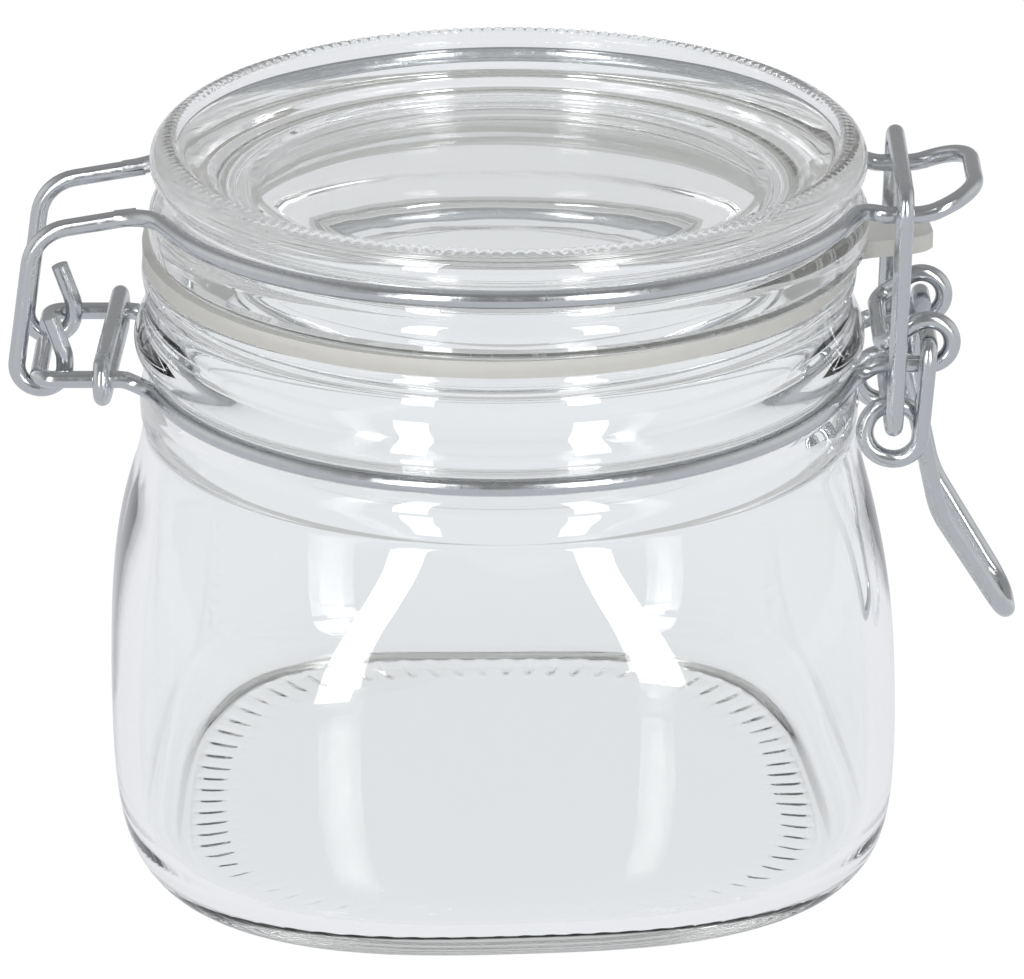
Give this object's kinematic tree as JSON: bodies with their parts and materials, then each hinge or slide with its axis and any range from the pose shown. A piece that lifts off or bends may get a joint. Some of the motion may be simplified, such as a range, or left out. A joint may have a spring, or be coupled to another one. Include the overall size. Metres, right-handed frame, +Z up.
{
  "type": "clip-top glass storage jar",
  "caption": "Squarish clear glass storage jar with a round neck, flat dished glass lid, pale gasket and a sprung steel wire hinge and lever clip.",
  "frame": {"origin": "middle of the jar's base, on the axis of its round neck, where it stands on the table", "axes": "+Z up, +X towards the latch, -X towards the lid's hinge, -Y the front"},
  "size_m": [0.1347, 0.1066, 0.0971],
  "materials": {
    "jar_glass": "clear pressed glass, glossy",
    "lid_glass": "clear pressed glass, glossy",
    "gasket": "translucent off-white rubber, satin",
    "wire": "bright drawn steel wire, satin"
  },
  "bodies": {
    "jar": {"jar_glass": "jar_glass", "lid_glass": "lid_glass", "gasket": "gasket", "neck_band": "wire", "lid_band": "wire", "collar": "wire"},
    "lever": {"lever": "wire"},
    "bail": {"bail": "wire"}
  },
  "joints": [
    {"name": "lever_hinge", "type": "hinge", "parent": "jar", "child": "lever", "pos_m": [0.0567, 0, 0.0711], "axis": [0, -1, 0], "range_deg": [0, 150]},
    {"name": "bail_pivot", "type": "hinge", "parent": "lever", "child": "bail", "pos_m": [0.05215, 0, 0.06007], "axis": [0, -1, 0], "range_deg": [-110, 0]}
  ],
  "couplings": [
    {"joint": "bail_pivot", "follows": "lever_hinge", "ratio": -0.72}
  ]
}
